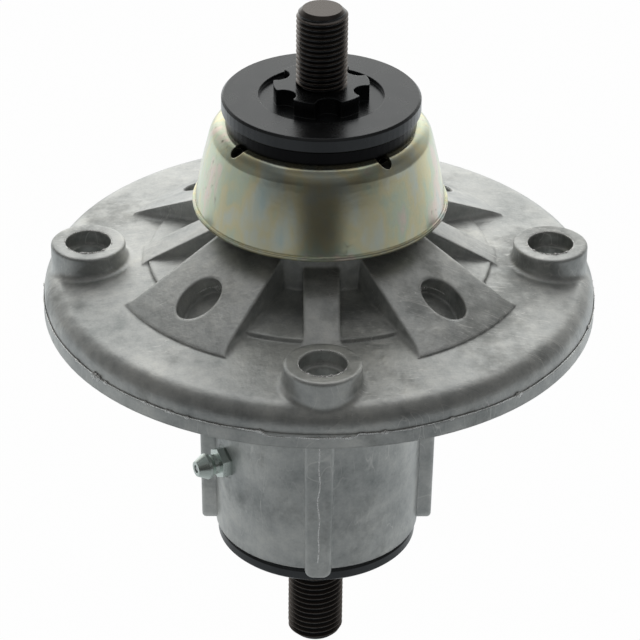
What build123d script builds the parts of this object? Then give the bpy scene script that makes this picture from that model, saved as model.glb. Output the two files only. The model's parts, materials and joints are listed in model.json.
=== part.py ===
from build123d import *
from math import cos, radians, sin, sqrt, tan
import os

# Blade spindle hub of a ride-on mower, in millimetres.
# The axis of the shaft is Z. Z = 0 is the flange face that seats on the mower deck.
# The blade side, with the star drive and the dust cup, points to +Z.

# Cast flange of the housing
flange_r = 66.5
parting_z = 3.6          # height of the parting line on the rim
parting_step = 0.25      # mismatch of the two die halves at that line
flange_edge_h = 9.05     # height of the rim corner before it is rounded
shoulder_fillet = 5.0
dome_slope = 0.1187
valley_outer_r = 41.1    # edge of the flat floors between pads and gussets
valley_lip = 0.8         # step of a floor above the dome at its edge
valley_slope = 0.18
relief_r = 45.0          # hollow in the underside, inside the seating ring
relief_h = 3.0

# Bolt bosses
boss_count = 4
boss_circle_r = 55.5
boss_r = 8.95
boss_top_z = 15.6
boss_foot_fillet = 1.6
boss_edge_fillet = 0.6
counterbore_r = 5.5
counterbore_depth = 3.4
bolt_hole_r = 4.25

# Wedge pads between the bosses, with a round pocket each
pad_outer_r = 50.7
pad_lip = 0.4            # step of the pad above the dome at its outer end
pad_slope = 0.485
pad_half_width = 15.9    # at the outer corners
pad_side_angle = 12.0
pad_draft = 4.0
pad_foot_fillet = 1.8
pocket_half_width = 4.8
pocket_half_length = 6.4
pocket_depth = 5.2
pocket_circle_r = 40.0

# Gusset ribs on the boss directions
gusset_outer_r = 42.5
gusset_half_width = 4.2
gusset_lip = 0.3         # step of a gusset above the dome at its outer end
gusset_slope = 0.55
gusset_foot_fillet = 1.2
gusset_sector = 14.0     # half the angle that belongs to a gusset, in degrees

# Barrel and its ribs
barrel_top_r = 26.4
barrel_end_r = 25.5
barrel_end_z = -62.2
rib_outer_r = 29.6
rib_width = 7.8
rib_draft = 0.6
rib_overhang = 0.7       # how far the ribs reach past the end of the barrel
rib_fillet = 1.0
rib_end_fillet = 2.2

# Bearings: bore 17, outside diameter 40, width 12
bearing_bore_r = 8.5
bearing_outer_r = 20.0
bearing_width = 12.0
inner_shoulder = 2.05    # from the pitch circle to the land of the inner ring
outer_shoulder = 2.15    # from the pitch circle to the land of the outer ring
ball_r = 3.3735
ball_count = 8
seal_bite = 1.0          # how far a seal reaches into the outer ring
seal_thick = 0.8
seal_inset = 0.3
cage_wall = 2.6
cage_floor = 0.9
cage_top = 1.8

# Places along the axis
blade_bearing_low_z = 31.5
pulley_bearing_low_z = -56.5
hub_wall = 4.0
hub_cover = 1.0          # hub above the bearing's face
grease_bore_r = 17.5

# Fits
press_gap = 0.01         # radial gap left in a press fit
race_gap = 0.05
pocket_gap = 0.08
seal_gap = 0.1
slinger_gap = 0.95

# Shaft
disc_r = 23.4
disc_low_z = 51.3
disc_top_z = 55.1
disc_edge = 0.5
recess_r = 14.8
recess_depth = 1.0
collar_r = 22.5
spigot_r = 20.0
spigot_h = 1.2
journal_shoulder_r = 11.5
star_tip_r = 11.2
star_valley_r = 8.2
star_lobes = 6
star_flute_r = 3.0
star_corner = 0.5
star_angle = 7.5
star_top_z = 58.1
blade_stud_r = 6.0
blade_stud_top_z = 77.0
blade_stud_chamfer = 1.4
pulley_stud_r = 7.0
pulley_stud_end_z = -99.0
pulley_stud_chamfer = 1.6

# Dust cup, drawn from sheet
cup_wall = 1.0
cup_top_z = 48.1
cup_mouth_r = 29.95
cup_lip_z = 27.2
cup_lip_out = 0.45       # how far the lip stands out from the wall
cup_lip_h = 1.1
cup_waist_r = 28.55      # wall at half height, which bulges a little
cup_waist_z = 35.0
cup_neck_r = 26.75       # wall at the start of the shoulder
cup_neck_z = 43.0
cup_shoulder_fillet = 4.5
notch_count = 4
notch_width = 3.2
notch_reach_r = 25.6
notch_depth = 3.0
notch_angle = 36.4

# Slinger under the barrel
slinger_r = 24.9
slinger_thick = 3.3
slinger_edge = 0.6

# Retaining ring under the pulley-side bearing
ring_thick = 1.75
ring_groove_r = 21.25
ring_radial = 3.2
ring_gap_angle = 24.0
ring_lug_r = 2.4
ring_lug_hole_r = 1.25
groove_gap = 0.05

# Grease nipple: thread 6, hexagon 7 across flats, head 6.5
nipple_angle = 207.0
nipple_z = -39.6
nipple_thread_r = 3.0
nipple_thread_length = 6.5
nipple_hex_flats = 7.0
nipple_hex_h = 2.5
nipple_neck_r = 2.5
nipple_neck_h = 1.4
nipple_head_r = 3.25
nipple_head_low_h = 1.1
nipple_head_band = 0.7
nipple_tip_r = 1.9
nipple_tip_h = 2.5
spot_face_r = 4.4
spot_face_depth = 0.1
check_ball_r = 1.25
ball_mouth_r = 1.0
mouth_wall = 0.6
chamber_gap = 0.1
grease_channel_r = 0.8
spring_wire_r = 0.18
spring_turns = 4
spring_seat_h = 1.1      # height of the spring's seat above the nipple's own seat
seat_gap = 0.02

# Sizes that follow from the ones above
shoulder_r = flange_r - parting_step
pad_edge_z = flange_edge_h + dome_slope * (shoulder_r - pad_outer_r) + pad_lip
pitch_r = (bearing_bore_r + bearing_outer_r) / 2
inner_land_r = pitch_r - inner_shoulder
outer_land_r = pitch_r + outer_shoulder
seal_seat_r = outer_land_r + seal_bite
hub_r = bearing_outer_r + hub_wall
blade_bearing_top_z = blade_bearing_low_z + bearing_width
pulley_bearing_top_z = pulley_bearing_low_z + bearing_width
hub_top_z = blade_bearing_top_z + hub_cover
bearing_seat_r = bearing_outer_r + press_gap
journal_r = bearing_bore_r - press_gap
slinger_top_z = barrel_end_z - slinger_gap
slinger_low_z = slinger_top_z - slinger_thick
spigot_low_z = cup_top_z - spigot_h
pad_axis_outer = sqrt(pad_outer_r**2 - pad_half_width**2)
star_flute_circle_r = star_valley_r + star_flute_r


def dome_z(r):
    """Height of the flange's dome at a distance from the axis."""
    return flange_edge_h + dome_slope * (shoulder_r - r)


def save(piece, name):
    """Label a finished piece and write it to its own file."""
    piece.part.label = name
    export_step(piece.part, f"parts/{name}.step")


os.makedirs("parts", exist_ok=True)

# Blanks of the wedge pads and gussets: taller than the real ones, so that their feet can be rounded
blank_foot_z = relief_h + 2.0
blank_top_z = hub_top_z - 2.0
blank_inner_r = hub_r - 2.0
pad_grow = tan(radians(pad_draft)) * (pad_edge_z - blank_foot_z)


def pad_width_at(along):
    """Full width of a pad's foot at a distance along its own axis."""
    side = tan(radians(pad_side_angle))
    return 2 * (pad_half_width + pad_grow + side * (along - pad_axis_outer))


with BuildPart() as pad_blanks:
    with BuildSketch(Plane.XY.offset(blank_foot_z)):
        with PolarLocations(0, boss_count, start_angle=180 / boss_count):
            Polygon(
                (blank_inner_r / 2, -pad_width_at(blank_inner_r / 2) / 2),
                (flange_r, -pad_width_at(flange_r) / 2),
                (flange_r, pad_width_at(flange_r) / 2),
                (blank_inner_r / 2, pad_width_at(blank_inner_r / 2) / 2),
                align=None,
            )
    extrude(amount=blank_top_z, taper=pad_draft)
    with BuildSketch(Plane.XY.offset(blank_foot_z)):
        Circle(pad_outer_r)
        Circle(blank_inner_r, mode=Mode.SUBTRACT)
    extrude(amount=blank_top_z - blank_foot_z, mode=Mode.INTERSECT)

pad_peak_z = pad_edge_z + pad_slope * pad_outer_r
gusset_outer_z = dome_z(gusset_outer_r) + gusset_lip
valley_edge_z = dome_z(valley_outer_r) + valley_lip
gusset_peak_z = gusset_outer_z + gusset_slope * gusset_outer_r
trim_margin = 1.0
trim_top_z = blank_top_z + trim_margin
gusset_sector_half = tan(radians(gusset_sector))
pad_sector_half = tan(radians(180 / boss_count - gusset_sector))

with BuildPart() as gusset_blanks:
    with BuildSketch(Plane.XY.offset(blank_foot_z)):
        with PolarLocations((blank_inner_r + gusset_outer_r) / 2, boss_count):
            Rectangle(gusset_outer_r - blank_inner_r, 2 * gusset_half_width)
    extrude(amount=blank_top_z - blank_foot_z)

# Trims: what lies above the cone of the pads and above the steeper cone of the gussets
with BuildPart() as pad_trim:
    with BuildSketch(Plane.XZ):
        with BuildLine():
            Polyline(
                (0, pad_peak_z),
                (pad_outer_r, pad_edge_z),
                (pad_outer_r + trim_margin, pad_edge_z),
                (pad_outer_r + trim_margin, trim_top_z),
                (0, trim_top_z),
                close=True,
            )
        make_face()
    revolve(axis=Axis.Z)
    with BuildSketch():
        with PolarLocations(0, boss_count, start_angle=180 / boss_count):
            Polygon(
                (0, 0),
                (2 * flange_r, -2 * flange_r * pad_sector_half),
                (2 * flange_r, 2 * flange_r * pad_sector_half),
                align=None,
            )
    extrude(amount=hub_top_z, mode=Mode.INTERSECT)

with BuildPart() as gusset_trim:
    with BuildSketch(Plane.XZ):
        with BuildLine():
            Polyline(
                (0, gusset_peak_z),
                (gusset_outer_r, gusset_outer_z),
                (gusset_outer_r + trim_margin, gusset_outer_z),
                (gusset_outer_r + trim_margin, trim_top_z),
                (0, trim_top_z),
                close=True,
            )
        make_face()
    revolve(axis=Axis.Z)
    with BuildSketch():
        with PolarLocations(0, boss_count):
            Polygon(
                (0, 0),
                (flange_r, -flange_r * gusset_sector_half),
                (flange_r, flange_r * gusset_sector_half),
                align=None,
            )
    extrude(amount=hub_top_z, mode=Mode.INTERSECT)


def at_foot(edge):
    """True for an edge where a blank's side stands on the dome or on the cone of the hub."""
    middle = edge @ 0.5
    r = sqrt(middle.X**2 + middle.Y**2)
    along_side = edge.geom_type != GeomType.CIRCLE
    return along_side and abs(middle.Z - dome_z(r)) < 0.4 and hub_r + 0.5 < r < pad_outer_r - 1


def beside_gusset(edge):
    """True for an edge in the plane of a gusset's side."""
    middle = edge @ 0.5
    return abs(min(abs(middle.X), abs(middle.Y)) - gusset_half_width) < 0.01


# One rib of the barrel, with rounded long edges and a rounded lower end
rib_inner_r = bearing_seat_r + 1.0
rib_length = relief_h - barrel_end_z + rib_overhang

with BuildPart() as rib:
    with BuildSketch(Plane.XY.offset(relief_h)):
        with Locations(((rib_inner_r + rib_outer_r) / 2, 0)):
            Rectangle(rib_outer_r - rib_inner_r, rib_width)
    extrude(amount=-rib_length, taper=rib_draft)
    end_face = rib.faces().sort_by(Axis.Z)[0]
    fillet(end_face.edges().filter_by(Axis.X), radius=rib_end_fillet)
    outer_face = rib.faces().sort_by(Axis.X)[-1]
    fillet(outer_face.edges().sort_by(Axis.Z)[:-1], radius=rib_fillet)

# One oval pocket, sunk at right angles to the pad's slope
pocket_top_z = pad_edge_z + pad_slope * (pad_outer_r - pocket_circle_r)
pocket_plane = Plane(
    origin=(pocket_circle_r, 0, pocket_top_z),
    x_dir=(0, 1, 0),
    z_dir=(pad_slope, 0, 1),
)

with BuildPart() as pocket:
    with BuildSketch(pocket_plane.offset(-pocket_depth)):
        Ellipse(pocket_half_width, pocket_half_length)
    extrude(amount=3 * pocket_depth)

# Seat for the grease nipple: a flat on the barrel and a threaded hole
nipple_seat_r = barrel_end_r - spot_face_depth
nipple_plane = Plane(
    origin=(
        nipple_seat_r * cos(radians(nipple_angle)),
        nipple_seat_r * sin(radians(nipple_angle)),
        nipple_z,
    ),
    x_dir=(0, 0, 1),
    z_dir=(cos(radians(nipple_angle)), sin(radians(nipple_angle)), 0),
)

# Housing: one die casting, with its bearing seats bored from both ends
with BuildPart() as housing:
    with BuildSketch(Plane.XZ) as section:
        with BuildLine():
            Polyline(
                (0, barrel_end_z),
                (barrel_end_r, barrel_end_z),
                (barrel_top_r, relief_h),
                (relief_r, relief_h),
                (relief_r + relief_h, 0),
                (flange_r, 0),
                (flange_r, parting_z),
                (shoulder_r, parting_z),
                (shoulder_r, flange_edge_h),
                (0, dome_z(0)),
                close=True,
            )
        make_face()
        rim_corner = section.vertices().sort_by_distance((shoulder_r, flange_edge_h))[0]
        fillet(rim_corner, radius=shoulder_fillet)
    revolve(axis=Axis.Z)

    with BuildSketch(Plane.XY.offset(blank_foot_z)):
        with PolarLocations(boss_circle_r, boss_count):
            Circle(boss_r)
    extrude(amount=boss_top_z - blank_foot_z)
    boss_edges = housing.edges(Select.LAST)
    foot_edges = boss_edges.filter_by(lambda e: blank_foot_z + 1 < e.center().Z < boss_top_z - 1)
    fillet(foot_edges, radius=boss_foot_fillet)
    rim_edges = housing.faces().filter_by(Axis.Z).group_by(Axis.Z)[-1].edges()
    fillet(rim_edges, radius=boss_edge_fillet)

    add(pad_blanks.part)
    fillet(housing.edges(Select.LAST).filter_by(at_foot), radius=pad_foot_fillet)
    add(gusset_blanks.part)
    gusset_feet = housing.edges(Select.LAST).filter_by(at_foot).filter_by(beside_gusset)
    fillet(gusset_feet, radius=gusset_foot_fillet)
    add(pad_trim.part, mode=Mode.SUBTRACT)
    add(gusset_trim.part, mode=Mode.SUBTRACT)
    with BuildSketch(Plane.XZ):
        with BuildLine():
            Polyline(
                (0, blank_foot_z),
                (valley_outer_r, blank_foot_z),
                (valley_outer_r, valley_edge_z),
                (0, valley_edge_z + valley_slope * valley_outer_r),
                close=True,
            )
        make_face()
    revolve(axis=Axis.Z)
    with BuildSketch(Plane.XY.offset(blank_foot_z)):
        Circle(hub_r)
    extrude(amount=hub_top_z - blank_foot_z)

    with PolarLocations(0, boss_count):
        add(rib.part)

    with BuildSketch(Plane.XZ):
        with BuildLine():
            Polyline(
                (0, barrel_end_z - 2 * rib_overhang),
                (barrel_end_r, barrel_end_z - 2 * rib_overhang),
                (barrel_end_r, barrel_end_z),
                (bearing_seat_r, barrel_end_z),
                (bearing_seat_r, pulley_bearing_low_z - ring_thick - groove_gap),
                (ring_groove_r, pulley_bearing_low_z - ring_thick - groove_gap),
                (ring_groove_r, pulley_bearing_low_z),
                (bearing_seat_r, pulley_bearing_low_z),
                (bearing_seat_r, pulley_bearing_top_z),
                (grease_bore_r, pulley_bearing_top_z),
                (grease_bore_r, blade_bearing_low_z),
                (bearing_seat_r, blade_bearing_low_z),
                (bearing_seat_r, hub_top_z),
                (0, hub_top_z),
                close=True,
            )
        make_face()
    revolve(axis=Axis.Z, mode=Mode.SUBTRACT)

    with Locations(Plane.XY.offset(boss_top_z)):
        with PolarLocations(boss_circle_r, boss_count):
            CounterBoreHole(bolt_hole_r, counterbore_r, counterbore_depth)
    with PolarLocations(0, boss_count, start_angle=180 / boss_count):
        add(pocket.part, mode=Mode.SUBTRACT)
    with BuildSketch(nipple_plane):
        Circle(spot_face_r)
    extrude(amount=barrel_top_r - nipple_seat_r, mode=Mode.SUBTRACT)
    with BuildSketch(nipple_plane):
        Circle(nipple_thread_r + press_gap)
    extrude(amount=grease_bore_r - nipple_seat_r - 2.0, mode=Mode.SUBTRACT)
save(housing, "housing")

# Shaft: one turned and milled piece from the blade stud to the pulley stud
with BuildPart() as spindle_shaft:
    with BuildSketch(Plane.XZ):
        with BuildLine():
            Polyline(
                (0, pulley_stud_end_z),
                (pulley_stud_r - pulley_stud_chamfer, pulley_stud_end_z),
                (pulley_stud_r, pulley_stud_end_z + pulley_stud_chamfer),
                (pulley_stud_r, slinger_low_z),
                (journal_r, slinger_low_z),
                (journal_r, blade_bearing_top_z),
                (journal_shoulder_r, blade_bearing_top_z),
                (journal_shoulder_r, spigot_low_z),
                (spigot_r, spigot_low_z),
                (spigot_r, cup_top_z),
                (collar_r, cup_top_z),
                (collar_r, disc_low_z),
                (disc_r - disc_edge, disc_low_z),
                (disc_r, disc_low_z + disc_edge),
                (disc_r, disc_top_z - disc_edge),
                (disc_r - disc_edge, disc_top_z),
                (recess_r, disc_top_z),
                (recess_r, disc_top_z - recess_depth),
                (blade_stud_r, disc_top_z - recess_depth),
                (blade_stud_r, blade_stud_top_z - blade_stud_chamfer),
                (blade_stud_r - blade_stud_chamfer, blade_stud_top_z),
                (0, blade_stud_top_z),
                close=True,
            )
        make_face()
    revolve(axis=Axis.Z)
    with BuildSketch(Plane.XY.offset(disc_top_z - recess_depth)) as star:
        Circle(star_tip_r)
        with PolarLocations(star_flute_circle_r, star_lobes, start_angle=star_angle + 180 / star_lobes):
            Circle(star_flute_r, mode=Mode.SUBTRACT)
        fillet(star.vertices(), radius=star_corner)
    extrude(amount=star_top_z - disc_top_z + recess_depth)
save(spindle_shaft, "spindle_shaft")

# Dust cup: a drawn bell with a thicker lip, pressed on the spigot under the shaft's collar
cup_corner_r = cup_neck_r - (cup_top_z - cup_neck_z) / 4

with BuildPart() as dust_cup:
    with BuildSketch(Plane.XZ):
        with BuildLine() as cup_line:
            ThreePointArc((cup_mouth_r, cup_lip_z), (cup_waist_r, cup_waist_z), (cup_neck_r, cup_neck_z))
            Polyline(
                (cup_neck_r, cup_neck_z),
                (cup_corner_r, cup_top_z),
                (spigot_r + press_gap, cup_top_z),
            )
            shoulder_corner = cup_line.vertices().sort_by_distance((cup_corner_r, cup_top_z))[0]
            fillet(shoulder_corner, radius=cup_shoulder_fillet)
            offset(amount=cup_wall, side=Side.LEFT)
        make_face()
    revolve(axis=Axis.Z)
    with BuildSketch(Plane.XZ):
        with Locations((cup_mouth_r + cup_lip_out - cup_wall / 2, cup_lip_z + cup_lip_h / 2)):
            RectangleRounded(cup_wall, cup_lip_h, cup_wall / 3)
    revolve(axis=Axis.Z)
    with BuildSketch(Plane.XY.offset(cup_top_z - notch_depth)):
        with PolarLocations(0, notch_count, start_angle=notch_angle):
            with Locations(((spigot_r + notch_reach_r) / 2 - notch_width / 2, 0)):
                SlotOverall(notch_reach_r - spigot_r + notch_width, notch_width)
    extrude(amount=2 * notch_depth, mode=Mode.SUBTRACT)
save(dust_cup, "dust_cup")


def ball_bearing(name, low_z):
    """Six pieces of a sealed deep-groove bearing that stands on the height low_z."""
    middle = low_z + bearing_width / 2
    half = bearing_width / 2
    race_r = ball_r + race_gap
    seal_depth = seal_thick + seal_inset

    with BuildPart() as outer_ring:
        with BuildSketch(Plane.XZ):
            with BuildLine():
                Polyline(
                    (outer_land_r, low_z + seal_depth),
                    (seal_seat_r, low_z + seal_depth),
                    (seal_seat_r, low_z),
                    (bearing_outer_r, low_z),
                    (bearing_outer_r, low_z + bearing_width),
                    (seal_seat_r, low_z + bearing_width),
                    (seal_seat_r, low_z + bearing_width - seal_depth),
                    (outer_land_r, low_z + bearing_width - seal_depth),
                    close=True,
                )
            make_face()
            with Locations((pitch_r, middle)):
                Circle(race_r, mode=Mode.SUBTRACT)
        revolve(axis=Axis.Z)
    save(outer_ring, f"{name}_outer_ring")

    with BuildPart() as inner_ring:
        with BuildSketch(Plane.XZ):
            with Locations(((bearing_bore_r + inner_land_r) / 2, middle)):
                Rectangle(inner_land_r - bearing_bore_r, bearing_width)
            with Locations((pitch_r, middle)):
                Circle(race_r, mode=Mode.SUBTRACT)
        revolve(axis=Axis.Z)
    save(inner_ring, f"{name}_inner_ring")

    with BuildPart() as balls:
        with Locations(Plane.XY.offset(middle)):
            with PolarLocations(pitch_r, ball_count):
                Sphere(ball_r)
    save(balls, f"{name}_balls")

    cage_r = ball_r + pocket_gap
    with BuildPart() as cage:
        with BuildSketch(Plane.XY.offset(middle - cage_r - cage_floor)):
            Circle(pitch_r + cage_wall / 2)
            Circle(pitch_r - cage_wall / 2, mode=Mode.SUBTRACT)
        extrude(amount=cage_r + cage_floor + cage_top)
        with Locations(Plane.XY.offset(middle)):
            with PolarLocations(pitch_r, ball_count):
                Sphere(cage_r, mode=Mode.SUBTRACT)
    save(cage, f"{name}_cage")

    low_seal_z = low_z + seal_inset
    high_seal_z = low_z + bearing_width - seal_inset - seal_thick
    for side, seal_z in (("lower", low_seal_z), ("upper", high_seal_z)):
        with BuildPart() as seal:
            with BuildSketch(Plane.XY.offset(seal_z)):
                Circle(seal_seat_r - press_gap)
                Circle(inner_land_r + seal_gap, mode=Mode.SUBTRACT)
            extrude(amount=seal_thick)
        save(seal, f"{name}_{side}_seal")


ball_bearing("blade_bearing", blade_bearing_low_z)
ball_bearing("pulley_bearing", pulley_bearing_low_z)

# Spacer tube that keeps the two inner rings apart
with BuildPart() as bearing_spacer:
    with BuildSketch(Plane.XY.offset(pulley_bearing_top_z)):
        Circle(journal_shoulder_r)
        Circle(bearing_bore_r, mode=Mode.SUBTRACT)
    extrude(amount=blade_bearing_low_z - pulley_bearing_top_z)
save(bearing_spacer, "bearing_spacer")

# Retaining ring: an open ring with two eyed lugs, in the groove under the bearing
ring_outer_r = ring_groove_r - groove_gap
ring_inner_r = ring_outer_r - ring_radial
lug_circle_r = ring_inner_r - ring_lug_r / 3
ring_gap_x = 2 * ring_outer_r * cos(radians(ring_gap_angle / 2))
ring_gap_y = 2 * ring_outer_r * sin(radians(ring_gap_angle / 2))

with BuildPart() as retaining_ring:
    with BuildSketch(Plane.XY.offset(pulley_bearing_low_z - ring_thick)):
        Circle(ring_outer_r)
        Circle(ring_inner_r, mode=Mode.SUBTRACT)
        Polygon(
            (0, 0),
            (ring_gap_x, ring_gap_y),
            (ring_gap_x, -ring_gap_y),
            align=None,
            mode=Mode.SUBTRACT,
        )
        for lug_angle in (ring_gap_angle / 2 + 7, -ring_gap_angle / 2 - 7):
            with PolarLocations(lug_circle_r, 1, start_angle=lug_angle):
                Circle(ring_lug_r)
                Circle(ring_lug_hole_r, mode=Mode.SUBTRACT)
    extrude(amount=ring_thick)
save(retaining_ring, "retaining_ring")

# Slinger: a disc under the barrel whose hub bears on the bearing's inner ring
with BuildPart() as slinger:
    with BuildSketch(Plane.XZ):
        with BuildLine():
            Polyline(
                (bearing_bore_r, slinger_low_z),
                (slinger_r - slinger_edge, slinger_low_z),
                (slinger_r, slinger_low_z + slinger_edge),
                (slinger_r, slinger_top_z - slinger_edge),
                (slinger_r - slinger_edge, slinger_top_z),
                (journal_shoulder_r, slinger_top_z),
                (journal_shoulder_r, pulley_bearing_low_z),
                (bearing_bore_r, pulley_bearing_low_z),
                close=True,
            )
        make_face()
    revolve(axis=Axis.Z)
save(slinger, "slinger")

# Grease nipple, built along its own axis from the seat on the barrel
head_low = nipple_hex_h + nipple_neck_h + nipple_head_low_h
head_high = head_low + nipple_head_band
tip = head_high + nipple_tip_h
mouth = tip - mouth_wall
chamber_r = check_ball_r + chamber_gap
ball_centre = mouth - sqrt(check_ball_r**2 - ball_mouth_r**2) - seat_gap

with BuildPart() as grease_nipple:
    with BuildSketch(nipple_plane):
        RegularPolygon(nipple_hex_flats / 2, 6, major_radius=False)
    extrude(amount=nipple_hex_h)
    with BuildSketch(nipple_plane):
        Circle(nipple_thread_r)
    extrude(amount=-nipple_thread_length)
    with BuildSketch(nipple_plane.offset(nipple_hex_h)):
        Circle(nipple_neck_r)
    extrude(amount=nipple_neck_h + nipple_head_low_h)
    with BuildSketch(nipple_plane.offset(head_low - nipple_head_low_h)):
        Circle(nipple_neck_r)
    with BuildSketch(nipple_plane.offset(head_low)):
        Circle(nipple_head_r)
    loft()
    with BuildSketch(nipple_plane.offset(head_low)):
        Circle(nipple_head_r)
    extrude(amount=nipple_head_band)
    with BuildSketch(nipple_plane.offset(head_high)):
        Circle(nipple_head_r)
    with BuildSketch(nipple_plane.offset(tip)):
        Circle(nipple_tip_r)
    loft()
    with BuildSketch(nipple_plane.offset(tip)):
        Circle(ball_mouth_r)
    extrude(amount=-mouth_wall, mode=Mode.SUBTRACT)
    with BuildSketch(nipple_plane.offset(mouth)):
        Circle(chamber_r)
    extrude(amount=spring_seat_h - mouth, mode=Mode.SUBTRACT)
    with BuildSketch(nipple_plane.offset(spring_seat_h)):
        Circle(grease_channel_r)
    extrude(amount=-spring_seat_h - nipple_thread_length, mode=Mode.SUBTRACT)
save(grease_nipple, "grease_nipple")

# Check ball behind the nipple's mouth
with BuildPart() as nipple_ball:
    with Locations(nipple_plane.offset(ball_centre)):
        Sphere(check_ball_r)
save(nipple_ball, "nipple_ball")

# Spring that holds the check ball up
spring_r = chamber_r - spring_wire_r - chamber_gap / 2
spring_low = spring_seat_h + spring_wire_r + seat_gap
ball_touch = sqrt((check_ball_r + spring_wire_r) ** 2 - spring_r**2)
spring_high = ball_centre - ball_touch - seat_gap
spring_height = spring_high - spring_low

with BuildPart() as nipple_spring:
    with BuildLine() as coil:
        Helix(
            pitch=spring_height / spring_turns,
            height=spring_height,
            radius=spring_r,
            center=nipple_plane.offset(spring_low).origin,
            direction=nipple_plane.z_dir,
        )
    with BuildSketch(Plane(origin=coil.line @ 0, z_dir=coil.line % 0)):
        Circle(spring_wire_r)
    sweep()
save(nipple_spring, "nipple_spring")
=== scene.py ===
# %% [markdown]
# # A mower's blade spindle hub
# The hub is a die-cast aluminium flange and barrel, a black steel shaft that turns in it on two
# bearings, and a zinc-plated dust cup that turns with the shaft. The solids are already packed at
# their real size, so this lesson only adds finishes, threads and the marks that casting leaves.

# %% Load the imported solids
import json
from math import cos, radians, sin

import bpy
import numpy as np
from mathutils import Matrix, Vector


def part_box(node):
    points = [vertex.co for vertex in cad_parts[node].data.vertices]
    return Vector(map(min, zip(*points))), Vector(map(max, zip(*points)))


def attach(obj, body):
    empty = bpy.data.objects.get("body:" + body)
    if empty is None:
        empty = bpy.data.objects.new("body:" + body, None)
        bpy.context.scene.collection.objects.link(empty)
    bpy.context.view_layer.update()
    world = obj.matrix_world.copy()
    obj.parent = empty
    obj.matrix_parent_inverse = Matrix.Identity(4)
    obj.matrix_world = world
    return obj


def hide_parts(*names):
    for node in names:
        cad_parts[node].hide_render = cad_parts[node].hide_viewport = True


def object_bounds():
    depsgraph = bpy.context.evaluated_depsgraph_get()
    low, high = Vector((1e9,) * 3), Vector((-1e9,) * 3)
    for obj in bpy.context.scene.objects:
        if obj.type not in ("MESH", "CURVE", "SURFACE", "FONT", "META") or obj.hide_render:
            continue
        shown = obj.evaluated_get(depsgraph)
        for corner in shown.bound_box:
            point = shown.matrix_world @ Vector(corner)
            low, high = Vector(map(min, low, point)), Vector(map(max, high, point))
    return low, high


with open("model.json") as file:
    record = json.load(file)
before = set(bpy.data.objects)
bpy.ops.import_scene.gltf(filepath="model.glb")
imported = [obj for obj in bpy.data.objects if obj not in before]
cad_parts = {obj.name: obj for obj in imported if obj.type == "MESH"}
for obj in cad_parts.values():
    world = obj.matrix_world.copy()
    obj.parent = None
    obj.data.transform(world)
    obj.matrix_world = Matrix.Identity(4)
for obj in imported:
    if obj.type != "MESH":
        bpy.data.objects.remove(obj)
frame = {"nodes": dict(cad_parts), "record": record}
cad_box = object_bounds()
nodes = frame["nodes"]
MM = 0.001
print("solids:", len(nodes), "box:", [tuple(round(v, 4) for v in corner) for corner in cad_box])

# %% [markdown]
# ## Camera
# The photograph was taken from the front, about 31 degrees above the flange, with a long lens. A
# long lens far away gives the flange, the cup and the disc ellipses of nearly the same shape, so
# distance and focal length are set together. A small roll copies the lean of the shaft.

# %% Camera
camera_target = Vector((0, 0, -6.05 * MM))
camera_distance = 689.5 * MM
camera_elevation = radians(30.64)
camera_azimuth = radians(-1.11)
camera_roll = radians(0.68)

camera_data = bpy.data.cameras.new("camera")
camera_data.sensor_width = 36.0
camera_data.lens = 158.96
camera_data.shift_x = 0.002
camera_data.clip_start = 0.01
camera = bpy.data.objects.new("camera", camera_data)
bpy.context.scene.collection.objects.link(camera)
back = Vector((
    sin(camera_azimuth) * cos(camera_elevation),
    -cos(camera_azimuth) * cos(camera_elevation),
    sin(camera_elevation),
))
aim = (-back).to_track_quat("-Z", "Y").to_matrix().to_4x4()
lean = Matrix.Rotation(camera_roll, 4, "Z")
camera.matrix_world = Matrix.Translation(camera_target + back * camera_distance) @ aim @ lean
bpy.context.scene.camera = camera
bpy.context.scene.view_settings.view_transform = "Standard"
print("camera at", tuple(round(v, 3) for v in camera.location))

# %% [markdown]
# ## Shader maths as Python
# A finish is easier to read as sums and products than as a list of links. `Wire` holds one output
# socket and turns +, -, * and / into Math nodes. `Nodes.node` adds a node and links its inputs.

# %% Shader helper


class Wire:
    """One output socket of a node tree, so that plain arithmetic adds Math nodes."""

    def __init__(self, nodes, socket):
        self.nodes = nodes
        self.socket = socket

    def _math(self, operation, first, second):
        return self.nodes.node("ShaderNodeMath", {"operation": operation}, {0: first, 1: second})

    def __add__(self, other):
        return self._math("ADD", self, other)

    __radd__ = __add__

    def __sub__(self, other):
        return self._math("SUBTRACT", self, other)

    def __rsub__(self, other):
        return self._math("SUBTRACT", other, self)

    def __mul__(self, other):
        return self._math("MULTIPLY", self, other)

    __rmul__ = __mul__

    def __truediv__(self, other):
        return self._math("DIVIDE", self, other)


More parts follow.
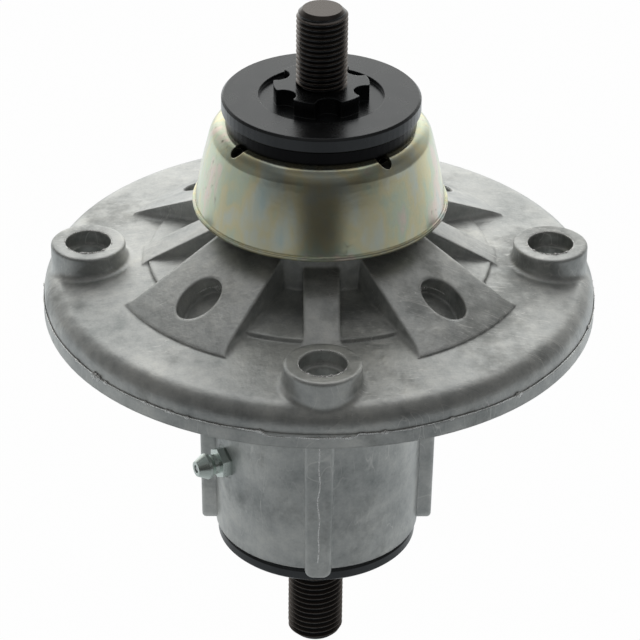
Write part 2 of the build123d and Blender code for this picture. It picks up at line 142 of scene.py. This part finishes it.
class Nodes:
    """A node tree with one method that adds a node, its settings and its inputs."""

    def __init__(self, tree):
        self.tree = tree

    def node(self, kind, settings=None, inputs=None, output=0):
        """Add a node of one kind, set it, link its inputs and return one of its outputs."""
        made = self.tree.nodes.new(kind)
        for name, value in (settings or {}).items():
            if name == "stops":
                self._stops(made.color_ramp, value)
            else:
                setattr(made, name, value)
        for name, value in (inputs or {}).items():
            self.feed(made.inputs[name], value)
        return Wire(self, made.outputs[output])

    def feed(self, socket, value):
        """Link a wire to an input socket, or write a plain value into it."""
        if isinstance(value, Wire):
            self.tree.links.new(value.socket, socket)
        else:
            socket.default_value = value

    def _stops(self, ramp, stops):
        while len(ramp.elements) < len(stops):
            ramp.elements.new(1.0)
        for element, (place, tone) in zip(ramp.elements, stops):
            element.position = place
            element.color = (*tone, 1.0)

    def noise(self, scale, detail=4.0, rough=0.55, vector=None):
        """Soft noise between 0 and 1 on Object coordinates, with a scale in waves per metre."""
        vector = vector or self.object_coords()
        inputs = {"Vector": vector, "Scale": scale, "Detail": detail, "Roughness": rough}
        return self.node("ShaderNodeTexNoise", None, inputs)

    def object_coords(self):
        return self.node("ShaderNodeTexCoord", output="Object")

    def clamp01(self, value, low, high):
        """A ramp that is 0 below low and 1 above high, with soft ends."""
        settings = {"interpolation_type": "SMOOTHSTEP"}
        inputs = {"Value": value, "From Min": low, "From Max": high}
        return self.node("ShaderNodeMapRange", settings, inputs)

    def mix(self, factor, first, second):
        """A colour between two colours."""
        inputs = {"Factor": factor, 6: first, 7: second}
        return self.node("ShaderNodeMix", {"data_type": "RGBA"}, inputs, output=2)


class Finish(Nodes):
    """A material with one Principled shader, filled in by socket name."""

    def __init__(self, name):
        self.material = bpy.data.materials.new(name)
        self.material.use_nodes = True
        super().__init__(self.material.node_tree)
        self.shader = self.tree.nodes["Principled BSDF"]

    def set(self, **sockets):
        """Fill in the shader's sockets, with _ for a space in a name, and return the material."""
        for name, value in sockets.items():
            self.feed(self.shader.inputs[name.replace("_", " ")], value)
        return self.material

    def bump(self, height, distance, strength=1.0, normal=None):
        """Normals that follow a height, on top of other normals where these are given."""
        inputs = {"Height": height, "Distance": distance, "Strength": strength}
        if normal:
            inputs["Normal"] = normal
        return self.node("ShaderNodeBump", None, inputs)

    def rounded(self, radius):
        """Normals that run softly over each edge, as a casting's or a worn edge's do."""
        return self.node("ShaderNodeBevel", {"samples": 6}, {"Radius": radius})


def colour(red, green, blue):
    """An opaque colour for a socket."""
    return (red, green, blue, 1.0)


black = colour(0, 0, 0)
white = colour(1, 1, 1)


# %% [markdown]
# ## Floor and studio
# The hub stands free on a white table, so the floor is white to the camera and still takes a soft
# shadow. Metal sees the same page, which falls off to grey towards the viewer. Bare metal shows its
# surroundings more than its own colour, so the studio matters: a light tent that is white behind,
# grey at the sides and the top, and dark where the camera looks in.

# %% Floor
floor_radius = 2.5
floor_rings = 40
floor_sides = 64
floor_z = cad_box[0].z
page_front = 0.34
page_side = 0.16
page_back = 0.5
camera_shade = 0.9
# The rest of the floor's shader is plain paint, which takes the shadow.
page_share = 0.985


def mesh_piece(name, points, faces, smooth=True):
    """A mesh object from an array of points and a list of faces."""
    mesh = bpy.data.meshes.new(name)
    mesh.from_pydata(points.tolist(), [], faces)
    mesh.polygons.foreach_set("use_smooth", [smooth] * len(mesh.polygons))
    mesh.update()
    piece = bpy.data.objects.new(name, mesh)
    bpy.context.scene.collection.objects.link(piece)
    return piece


def grid_faces(rows, columns, closed=True):
    """Quads of a grid of rows x columns points. A closed grid joins its last column to its first."""
    spans = columns if closed else columns - 1
    row, column = np.meshgrid(np.arange(rows - 1), np.arange(spans), indexing="ij")
    after = (column + 1) % columns
    near = row * columns
    far = near + columns
    corners = (near + column, near + after, far + after, far + column)
    return np.stack([corner.ravel() for corner in corners], axis=1)


def white_table():
    """White to the camera. Metal sees the same page, greyer in front and dark under the camera."""
    material = bpy.data.materials.new("white_table")
    material.use_nodes = True
    table = Nodes(material.node_tree)
    table.tree.nodes.clear()
    by_camera = table.node("ShaderNodeLightPath", output="Is Camera Ray")
    by_gloss = table.node("ShaderNodeLightPath", output="Is Glossy Ray")
    by_glass = table.node("ShaderNodeLightPath", output="Is Transmission Ray")
    place = table.object_coords()
    reach = table.node("ShaderNodeVectorMath", {"operation": "LENGTH"}, {0: place}, output="Value")
    behind = table.node("ShaderNodeSeparateXYZ", None, {0: place}, output="Y") / reach
    side_glow = table.clamp01(behind, -0.75, 0.0) * page_side
    back_glow = table.clamp01(behind, 0.0, 0.8) * page_back
    under_camera = table.clamp01(0 - behind, 0.88, 0.995) * table.clamp01(reach, 0.2, 0.8)
    glow = (page_front + side_glow + back_glow) * (1 - under_camera * camera_shade)
    light = by_camera + (1 - by_camera) * glow
    tint = table.mix(by_camera, colour(0.95, 0.99, 1.0), white)
    page_inputs = {"Color": table.mix(light, black, tint), "Strength": 1.0}
    page = table.node("ShaderNodeEmission", None, page_inputs)
    paint = table.node("ShaderNodeBsdfDiffuse", None, {"Color": colour(0.74, 0.74, 0.74)})
    page_factor = (by_camera + by_gloss + by_glass) * page_share
    blend = table.node("ShaderNodeMixShader", None, {0: page_factor, 1: paint, 2: page})
    surface = table.tree.nodes.new("ShaderNodeOutputMaterial")
    table.feed(surface.inputs["Surface"], blend)
    return material


ring, side = np.meshgrid(np.linspace(0.001, 1, floor_rings), np.arange(floor_sides), indexing="ij")
ring_r = floor_radius * ring**2
turn = 2 * np.pi * side / floor_sides
height = np.full_like(ring_r, floor_z)
floor_points = np.stack([ring_r * np.cos(turn), ring_r * np.sin(turn), height], axis=-1)
floor_faces = grid_faces(floor_rings, floor_sides).tolist()
floor = mesh_piece("floor", floor_points.reshape(-1, 3), floor_faces)
floor.data.materials.append(white_table())
print("floor at", round(floor_z, 4))

# %% Studio
tent_front = 0.05
tent_side = 0.28
tent_back = 1.18
tent_top = 0.08
sky_peak = 1.6
softbox_place = (0.02, 0.42, 0.95)


def light_tent():
    """A tent that is bright behind, fades upwards and to both sides, and is dark in front."""
    world = bpy.data.worlds.new("studio")
    world.use_nodes = True
    tent = Nodes(world.node_tree)
    tent.tree.nodes.clear()
    direction = tent.node("ShaderNodeTexCoord", output="Generated")
    across = tent.node("ShaderNodeSeparateXYZ", None, {0: direction}, output="X")
    behind = tent.node("ShaderNodeSeparateXYZ", None, {0: direction}, output="Y")
    above = tent.node("ShaderNodeSeparateXYZ", None, {0: direction}, output="Z")
    side_light = tent.clamp01(behind, -1.0, -0.2) * tent_side
    back_light = tent.clamp01(behind, 0.1, 0.95) * tent_back
    wall_fade = 1 - tent.clamp01(above, 0.28, 0.66) * 0.52 - tent.clamp01(above, 0.77, 0.98) * 0.36
    wall_light = (tent_front + side_light + back_light) * wall_fade
    top_light = tent.clamp01(above, 0.0, 1.0) * tent_top
    left_bias = 1 - across * 0.08
    side_fade = 1 - tent.clamp01(across * across, 0.07, 0.36) * 0.5
    glow = (wall_light + top_light) * left_bias * side_fade
    # A Mix node holds its factor at 1, so the factor is a share of the peak.
    peak_tone = colour(sky_peak, sky_peak, 0.97 * sky_peak)
    sky_inputs = {"Color": tent.mix(glow / sky_peak, black, peak_tone), "Strength": 1.0}
    sky = tent.node("ShaderNodeBackground", None, sky_inputs)
    surface = tent.tree.nodes.new("ShaderNodeOutputWorld")
    tent.feed(surface.inputs["Surface"], sky)
    return world


bpy.context.scene.world = light_tent()
lamp_data = bpy.data.lights.new("softbox", "AREA")
lamp_data.size = 0.9
lamp_data.energy = 1.2
lamp = bpy.data.objects.new("softbox", lamp_data)
lamp.location = softbox_place
lamp.rotation_mode = "QUATERNION"
lamp.rotation_quaternion = (camera_target - lamp.location).to_track_quat("-Z", "Y")
bpy.context.scene.collection.objects.link(lamp)
print("softbox at", softbox_place)

# %% [markdown]
# ## Finishes
# Each finish mixes a few noises at the scale of the real surface. The casting has a dull sheen with
# blotches and a fine grain, the oxide is nearly black with a soft gloss, and the zinc has the faint
# yellow, green and pink streaks of its passivation.

# %% Cast aluminium


def scratches(finish, turn, scale, stretch, width):
    """Thin long lines: the middle contour of a noise that is stretched along one direction."""
    place = finish.object_coords()
    inputs = {"Vector": place, "Rotation": (0.3, 0.2, turn), "Scale": (1.0, stretch, 1.0)}
    along = finish.node("ShaderNodeMapping", None, inputs)
    level = finish.noise(scale, 1.5, 0.5, along)
    away = finish.node("ShaderNodeMath", {"operation": "ABSOLUTE"}, {0: level - 0.5})
    return 1 - finish.clamp01(away, 0.0, width)


def cast_aluminium():
    """As-cast skin: blotches, stains, painted shade in the corners, scratches, and rubbed edges with a
    painted highlight.
    """
    finish = Finish("cast_aluminium")
    blotch = finish.noise(60.0, 5.0, 0.6)
    cloud = finish.noise(260.0, 4.0, 0.6)
    grain = finish.noise(1600.0, 3.0, 0.6)
    shade = blotch * 0.55 + cloud * 0.33 + grain * 0.12
    tone = finish.node(
        "ShaderNodeValToRGB",
        {"stops": [
            (0.32, (0.34, 0.36, 0.36)),
            (0.45, (0.55, 0.565, 0.56)),
            (0.56, (0.70, 0.71, 0.695)),
            (0.70, (0.87, 0.87, 0.83)),
        ]},
        {"Fac": shade},
    )
    stain = finish.clamp01(finish.noise(34.0, 6.0, 0.7), 0.50, 0.70)
    tone = finish.mix(stain * 0.65, tone, colour(0.22, 0.23, 0.225))
    # Painted shade: the base colour darkens in corners and creases found by ambient occlusion, broken
    # up by the cloud noise.
    settings = {"samples": 6, "only_local": True}
    open_sky = finish.node("ShaderNodeAmbientOcclusion", settings, {"Distance": 2.5 * MM}, output="AO")
    corner_shade = (1 - finish.clamp01(open_sky, 0.25, 0.8)) * (0.15 + 0.4 * cloud)
    tone = finish.mix(corner_shade, tone, colour(0.15, 0.165, 0.165))
    patch = finish.clamp01(finish.noise(45.0, 2.0), 0.46, 0.58)
    rub = scratches(finish, 0.7, 55.0, 9.0, 0.009) + scratches(finish, 2.2, 70.0, 12.0, 0.008)
    tone = finish.mix(rub * patch * 0.65, tone, colour(0.84, 0.84, 0.82))
    soft = finish.rounded(1.2 * MM)
    flat = finish.node("ShaderNodeNewGeometry", output="Normal")
    settings = {"operation": "DOT_PRODUCT"}
    facing = finish.node("ShaderNodeVectorMath", settings, {0: soft, 1: flat}, output="Value")
    # Lighter edges: partly rubbed wear, partly a painted highlight along every edge where the rounded
    # normal turns away.
    worn = finish.clamp01(finish.noise(330.0, 4.0), 0.40, 0.62)
    worn_and_lit_edge = finish.clamp01(1 - facing, 0.02, 0.25) * worn
    tone = finish.mix(worn_and_lit_edge * 0.75, tone, colour(0.88, 0.88, 0.86))
    skin = finish.bump(grain, 0.08 * MM, 0.4, soft)
    skin = finish.bump(cloud, 0.3 * MM, 0.35, skin)
    skin = finish.bump(blotch, 1.2 * MM, 0.3, skin)
    return finish.set(
        Base_Color=tone,
        Metallic=0.76,
        Roughness=0.31 + 0.2 * cloud + 0.1 * stain,
        Normal=skin,
    )


# %% Black oxide


def black_oxide():
    """Black oxide, with brown rubbed crests on the threads and painted shade on the collar under the
    disc.
    """
    finish = Finish("black_oxide_steel")
    smear = finish.noise(180.0, 3.0, 0.5)
    crest = finish.node("ShaderNodeAttribute", {"attribute_name": "crest"}, output="Fac")
    oiled = finish.node("ShaderNodeAttribute", {"attribute_name": "oiled"}, output="Fac")
    skin = finish.mix(smear, colour(0.055, 0.058, 0.062), colour(0.085, 0.088, 0.092))
    # Painted shade: the shaft under the disc gets a near-black base colour.
    skin = finish.mix(oiled, skin, colour(0.012, 0.012, 0.013))
    return finish.set(
        Base_Color=finish.mix(crest * 0.7, skin, colour(0.14, 0.11, 0.09)),
        Metallic=0.92,
        Roughness=0.19 + 0.14 * smear,
        Normal=finish.bump(finish.noise(2200.0, 2.0), 0.02 * MM, 0.3, finish.rounded(0.25 * MM)),
    )


# %% Yellow zinc


def yellow_zinc():
    """Passivated zinc: a thin film that drifts between yellow, green and pink."""
    finish = Finish("yellow_zinc")
    wide = finish.noise(30.0, 3.0, 0.6)
    fine = finish.noise(130.0, 4.0, 0.6)
    upright = {"Vector": finish.object_coords(), "Scale": (1.0, 1.0, 0.2)}
    streak = finish.noise(170.0, 3.0, 0.6, finish.node("ShaderNodeMapping", None, upright))
    film = wide * 0.5 + fine * 0.2 + streak * 0.3
    tone = finish.node(
        "ShaderNodeValToRGB",
        {"stops": [
            (0.34, (0.54, 0.66, 0.64)),
            (0.42, (0.70, 0.72, 0.60)),
            (0.47, (0.76, 0.70, 0.46)),
            (0.52, (0.62, 0.69, 0.54)),
            (0.57, (0.78, 0.66, 0.58)),
            (0.64, (0.60, 0.68, 0.64)),
        ]},
        {"Fac": film},
    )
    rub = scratches(finish, 1.2, 90.0, 6.0, 0.006) * finish.clamp01(finish.noise(60.0, 2.0), 0.48, 0.6)
    speck = finish.clamp01(finish.noise(900.0, 2.0), 0.66, 0.72) * finish.clamp01(wide, 0.5, 0.62)
    tone = finish.mix(rub * 0.5, tone, colour(0.30, 0.29, 0.22))
    tone = finish.mix(speck * 0.7, tone, colour(0.22, 0.21, 0.17))
    return finish.set(
        Base_Color=tone,
        Metallic=0.9,
        Roughness=0.12 + 0.14 * fine,
        Normal=finish.bump(finish.noise(700.0, 3.0), 0.035 * MM, 0.35, finish.rounded(0.3 * MM)),
    )


# %% Plain steels, plastic and rubber


def plain_finish(name, tone, rough, metallic=1.0):
    """A plain piece with a faint cloud in its colour and its gloss."""
    finish = Finish(name)
    cloud = finish.noise(400.0, 3.0)
    dim = tuple(0.8 * part for part in tone)
    return finish.set(
        Base_Color=finish.mix(cloud, colour(*dim), colour(*tone)),
        Metallic=metallic,
        Roughness=rough + 0.12 * cloud,
        Normal=finish.bump(finish.noise(1800.0, 2.0), 0.03 * MM, 0.3, finish.rounded(0.15 * MM)),
    )


def fresh_flash():
    """Bare metal of the thin fins: crumpled, so that some of its facets always catch a light."""
    finish = Finish("fresh_flash")
    crumple = finish.noise(2200.0, 2.0)
    return finish.set(
        Base_Color=finish.mix(crumple, colour(0.85, 0.85, 0.84), colour(0.98, 0.98, 0.97)),
        Metallic=1.0,
        Roughness=0.22 + 0.1 * crumple,
        Normal=finish.bump(crumple, 0.5 * MM, 1.0),
    )


materials = {
    "cast_aluminium": cast_aluminium(),
    "fresh_flash": fresh_flash(),
    "black_oxide_steel": black_oxide(),
    "yellow_zinc": yellow_zinc(),
    "bright_zinc": plain_finish("bright_zinc", (0.74, 0.81, 0.77), 0.2),
    "bearing_steel": plain_finish("bearing_steel", (0.72, 0.72, 0.73), 0.18),
    "spring_steel": plain_finish("spring_steel", (0.30, 0.30, 0.31), 0.35),
    "cage_plastic": plain_finish("cage_plastic", (0.72, 0.66, 0.50), 0.5, metallic=0.0),
    "seal_rubber": plain_finish("seal_rubber", (0.035, 0.035, 0.035), 0.55, metallic=0.0),
}
for part in frame["record"]["subparts"]:
    mesh = nodes[part["node"]].data
    mesh.materials.clear()
    mesh.materials.append(materials[part["material_slot"]])
print("finishes:", sorted(materials))

# %% [markdown]
# ## Threads on the studs
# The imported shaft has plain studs. A real screw thread is one groove that winds round the stud, so
# the surface is a grid over turn and height whose radius only depends on how far a point is from
# the helix. The grid takes the place of the plain studs on a copy of the shaft.

# %% Thread surface
thread_sides = 96
steps_per_pitch = 12
crest_flat = 1 / 8
root_flat = 1 / 4
depth_per_pitch = 0.6134
chamfer_rub = 0.6
end_rub = 0.7
cap_rings = np.array([[0.98], [0.5], [0.0001]])


def thread_grid(radius, pitch, start, end, chamfer):
    """Points, faces and crest shares of a stud between two heights, chamfered and closed at its end.

    The radius falls from the crest to the root with the distance from the helix, and a cone cuts
    the crests near the end.
    """
    length = abs(end - start)
    rows = int(length / pitch * steps_per_pitch)
    height = np.linspace(start, end, rows)
    turn = 2 * np.pi * np.arange(thread_sides) / thread_sides
    z, angle = np.meshgrid(height, turn, indexing="ij")
    phase = (z / pitch - angle / (2 * np.pi)) % 1.0
    away = 2 * np.abs(phase - 0.5)
    fall = np.clip((away - crest_flat) / (1 - crest_flat - root_flat), 0, 1)
    thread = radius - depth_per_pitch * pitch * fall
    cone = radius - chamfer + np.abs(end - z)
    r = np.minimum(thread, cone)
    crest = np.where(thread <= cone, 1 - fall, chamfer_rub)
    cap_r = np.repeat(r[-1].min() * cap_rings, thread_sides, axis=1)
    r = np.vstack([r, cap_r])
    z = np.vstack([z, np.full_like(cap_r, end)])
    angle = np.vstack([angle, np.repeat(angle[:1], len(cap_rings), axis=0)])
    crest = np.vstack([crest, np.full_like(cap_r, end_rub)])
    points = np.stack([r * np.cos(angle), r * np.sin(angle), z], axis=-1).reshape(-1, 3)
    faces = grid_faces(rows + len(cap_rings), thread_sides)
    if end < start:
        faces = faces[:, ::-1]
    return points, faces, crest.ravel()


# %% Shaft with threads
shaft_mesh = nodes["spindle_shaft"].data
shaft_points = np.empty(len(shaft_mesh.vertices) * 3)
shaft_mesh.vertices.foreach_get("co", shaft_points)
shaft_points = shaft_points.reshape(-1, 3)
shaft_mesh.calc_loop_triangles()
triangles = np.empty(len(shaft_mesh.loop_triangles) * 3, dtype=int)
shaft_mesh.loop_triangles.foreach_get("vertices", triangles)
triangles = triangles.reshape(-1, 3)

mount_dims = {mount["name"]: mount["dims"] for mount in frame["record"]["mounts"]}
blade_stud_r = mount_dims["blade_stud"]["r_mm"] * MM
blade_pitch = 1.25 * MM
blade_chamfer = 1.4 * MM
pulley_stud_r = mount_dims["pulley_stud"]["r_mm"] * MM
pulley_pitch = 1.5 * MM
pulley_chamfer = 1.6 * MM
shaft_low, shaft_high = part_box("spindle_shaft")
slinger_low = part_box("slinger")[0].z
star_top = 58.1 * MM
disc_low_z = 51.3 * MM
disc_r = 23.4 * MM
slack = 0.05 * MM

from_axis = np.hypot(shaft_points[:, 0], shaft_points[:, 1])
on_blade_stud = (from_axis < blade_stud_r + slack) & (shaft_points[:, 2] > star_top - slack)
on_pulley_stud = (from_axis < pulley_stud_r + slack) & (shaft_points[:, 2] < slinger_low + slack)
plain_stud = on_blade_stud[triangles].all(axis=1) | on_pulley_stud[triangles].all(axis=1)
kept = triangles[~plain_stud]

blade_points, blade_faces, blade_crest = thread_grid(
    blade_stud_r, blade_pitch, star_top - slack, shaft_high.z, blade_chamfer
)
pulley_points, pulley_faces, pulley_crest = thread_grid(
    pulley_stud_r, pulley_pitch, slinger_low + slack, shaft_low.z, pulley_chamfer
)
points = np.vstack([shaft_points, blade_points, pulley_points])
first = len(shaft_points)
second = first + len(blade_points)
faces = kept.tolist() + (blade_faces + first).tolist() + (pulley_faces + second).tolist()
shaft = mesh_piece("threaded_shaft", points, faces, smooth=False)
crest = shaft.data.attributes.new("crest", "FLOAT", "POINT")
crest.data.foreach_set("value", np.concatenate([np.zeros(first), blade_crest, pulley_crest]))
# The shaft between the slinger and the disc, inside the disc's radius, is marked for painted shade.
under_disc = (points[:, 2] < disc_low_z + slack) & (points[:, 2] > slinger_low + slack)
inside_disc = np.hypot(points[:, 0], points[:, 1]) < disc_r - slack
oiled = shaft.data.attributes.new("oiled", "FLOAT", "POINT")
oiled.data.foreach_set("value", (under_disc & inside_disc).astype(float))
shaft.data.materials.append(materials["black_oxide_steel"])
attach(shaft, "spindle_body")
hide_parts("spindle_shaft")
print("shaft faces:", len(shaft.data.polygons))

# %% [markdown]
# ## Flash of the casting
# Metal that creeps between the die halves leaves thin ragged fins: round the rim at the parting
# line, down two of the barrel's ribs, in the pockets and on the bosses. Each fin is a low ridge
# along a path, with a height that comes from a dozen sine waves of random phase.

# %% Flash strips
flange_r = 66.5 * MM
parting_z = 3.6 * MM
boss_count = mount_dims["deck_bolts"]["count"]
boss_circle_r = mount_dims["deck_bolts"]["pcd_mm"] / 2 * MM
boss_top_z = 15.6 * MM
counterbore_r = 5.5 * MM
rib_outer_r = 29.6 * MM
rib_top_z = 3.0 * MM
rib_draft = radians(0.6)
wave_count = 12


def wander(along, waves, seed):
    """A smooth random curve round 0 with a spread of about 1, as a sum of sine waves."""
    random = np.random.default_rng(seed)
    pace = random.integers(waves // 3, waves, wave_count)
    phase = random.uniform(0, 2 * np.pi, wave_count)
    return np.sin(np.outer(along, pace) + phase).sum(axis=1) / np.sqrt(wave_count / 2)


low_arch = np.array([[-1.0, -0.25], [-0.45, 0.6], [0.0, 1.0], [0.45, 0.6], [1.0, -0.25]])
blunt_fin = np.array([[-1.0, -0.25], [-0.85, 0.9], [-0.3, 1.0], [0.3, 0.95], [0.8, 0.85], [1.0, -0.25]])


def flash_strip(path, up, side, height, half_width, shape=low_arch):
    """Points and faces of a ridge on a path, with one cross-section shape all along it."""
    shape_across, shape_up = shape.T
    lift = up[:, None, :] * (height[:, None] * shape_up)[:, :, None]
    spread = side[:, None, :] * (half_width[:, None] * shape_across)[:, :, None]
    points = path[:, None, :] + lift + spread
    faces = grid_faces(len(path), len(shape_across), closed=False)
    along = np.gradient(path, axis=0)
    outside_in = (np.cross(side, along) * up).sum() < 0
    return points.reshape(-1, 3), faces[:, ::-1] if outside_in else faces


def ring_directions(turn):
    """Outward and upward unit vectors at each angle of a level ring."""
    zero = np.zeros_like(turn)
    outward = np.stack([np.cos(turn), np.sin(turn), zero], axis=1)
    upward = np.stack([zero, zero, zero + 1], axis=1)
    return outward, upward


def flash_piece(name, strips):
    """One mesh from several strips, riding on the housing."""
    starts = np.cumsum([0] + [len(points) for points, _ in strips[:-1]])
    points = np.vstack([strip_points for strip_points, _ in strips])
    faces = np.vstack([strip_faces + start for (_, strip_faces), start in zip(strips, starts)])
    piece = mesh_piece(name, points, faces.tolist())
    piece.data.materials.append(materials["fresh_flash"])
    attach(piece, "housing_body")


# %% Rim
rim_steps = 1440
gate_angle = radians(267.5)
gate_half = radians(9.5)
gate_slope = radians(1.2)
gate_depth = 0.9 * MM
chip_angles = np.radians([218.4, 219.6, 233.0, 239.0, 258.2, 271.9, 274.6, 312.6])
chip_sizes = np.array([2.2, 1.6, 0.7, 0.8, 1.3, 1.0, 1.1, 0.7])
chip_spread = radians(0.8)
fin_root = 0.04 * MM


def turn_between(first, second):
    """The unsigned angle between directions."""
    return np.abs((first - second + np.pi) % (2 * np.pi) - np.pi)


def rim_strip():
    """The fin at the parting line. It dips where the metal was let in, and its chips stand out."""
    turn = np.linspace(0, 2 * np.pi, rim_steps + 1)
    outward, upward = ring_directions(turn)
    dip = gate_depth * np.clip((gate_half - turn_between(turn, gate_angle)) / gate_slope, 0, 1)
    chips = chip_sizes * np.exp(-(turn_between(turn[:, None], chip_angles) / chip_spread) ** 2)
    burr = np.clip(wander(turn, 150, 3) - 0.9, 0, None)
    burr = burr + chips.sum(axis=1) * (1 + 0.5 * wander(turn, 500, 6))
    height = (0.10 + 0.05 * wander(turn, 60, 1) + 0.22 * burr).clip(0.03) * MM
    half_width = (0.15 + 0.04 * wander(turn, 40, 2) + 0.28 * burr).clip(0.06) * MM
    z = parting_z + 0.10 * MM * wander(turn, 18, 4) - dip
    path = outward * (flange_r - fin_root) + upward * z[:, None]
    return flash_strip(path, outward, upward, height, half_width, blunt_fin)


flash_piece("rim_flash", [rim_strip()])

# %% Ribs
rib_points = 300
rib_fin_top_z = -1.5 * MM
rib_fin_end_z = -58 * MM
rib_fin_half = 0.2 * MM


def rib_strip(rib_side, seed):
    """The fin down the middle of one rib, which gets lower towards the end of the barrel."""
    z = np.linspace(rib_fin_top_z, rib_fin_end_z, rib_points)
    r = rib_outer_r - (rib_top_z - z) * np.tan(rib_draft)
    sway = 0.12 * MM * wander(z / (30 * MM), 24, seed)
    path = np.stack([sway, rib_side * r, z], axis=1)
    up = np.tile([0.0, rib_side, 0.0], (len(z), 1))
    across = np.tile([1.0, 0.0, 0.0], (len(z), 1))
    fade = np.clip(1.3 + z / (45 * MM), 0.25, 1)
    height = fade * (0.12 + 0.07 * wander(z / (20 * MM), 60, seed + 5)).clip(0.02) * MM
    return flash_strip(path, up, across, height, np.full(len(z), rib_fin_half))


flash_piece("rib_flash", [rib_strip(-1.0, 11), rib_strip(1.0, 12)])

# %% Bosses
bead_steps = 180
bead_middle = radians(275)
bead_spread = 0.55
bead_step = 0.12 * MM


def boss_strip(number):
    """The bead round one counterbore, thickest on the side that faces the viewer."""
    azimuth = number * 2 * np.pi / boss_count
    middle = np.array([boss_circle_r * np.cos(azimuth), boss_circle_r * np.sin(azimuth), boss_top_z])
    turn = np.linspace(0, 2 * np.pi, bead_steps + 1)
    outward, upward = ring_directions(turn)
    near_edge = np.exp(-(turn_between(turn, bead_middle) / bead_spread) ** 2)
    bead = np.clip(wander(turn, 22, 21 + number) - 0.4, 0, None)
    bead = bead + near_edge * (1.6 + 0.5 * wander(turn, 60, number))
    path = middle + outward * (counterbore_r + bead_step)
    height = (0.02 + 0.12 * bead) * MM
    half_width = (0.05 + 0.12 * bead) * MM
    return flash_strip(path, upward, outward, height, half_width)


flash_piece("boss_flash", [boss_strip(number) for number in range(boss_count)])

# %% Pockets
pad_slope = 0.485
pad_edge_r = 50.7 * MM
pad_edge_z = 11.296 * MM
pocket_circle_r = 40.0 * MM
pocket_half_width = 4.8 * MM
pocket_half_length = 6.4 * MM
burr_depth = 3.4 * MM
burr_start = radians(110)
burr_end = radians(250)
burr_points = 120


def pocket_strip(number):
    """A burr on the uphill wall of one pocket. The wall is square to the slope of the pad."""
    azimuth = np.pi / 4 + number * 2 * np.pi / boss_count
    radial = np.array([np.cos(azimuth), np.sin(azimuth), 0.0])
    level = np.array([-np.sin(azimuth), np.cos(azimuth), 0.0])
    upright = np.array([0.0, 0.0, 1.0])
    normal = (pad_slope * radial + upright) / np.hypot(pad_slope, 1)
    downhill = np.cross(level, normal)
    mouth_z = pad_edge_z + pad_slope * (pad_edge_r - pocket_circle_r)
    middle = radial * pocket_circle_r + upright * mouth_z - normal * burr_depth
    sweep = np.linspace(burr_start, burr_end, burr_points)
    toward = np.outer(np.cos(sweep), downhill) * pocket_half_length
    toward = toward + np.outer(np.sin(sweep), level) * pocket_half_width
    inward = -toward / np.linalg.norm(toward, axis=1)[:, None]
    up = (inward + normal) / np.sqrt(2)
    across = (inward - normal) / np.sqrt(2)
    ends = np.sin((sweep - burr_start) / (burr_end - burr_start) * np.pi)
    lump = np.clip(wander(sweep, 16, 31 + number), 0, None)
    height = ends * (0.25 + 0.7 * lump) * MM
    return flash_strip(middle + toward, up, across, height, 0.1 * MM + 0.7 * height)


flash_piece("pocket_flash", [pocket_strip(number) for number in range(boss_count)])
print("flash pieces: rim, ribs, bosses, pockets")
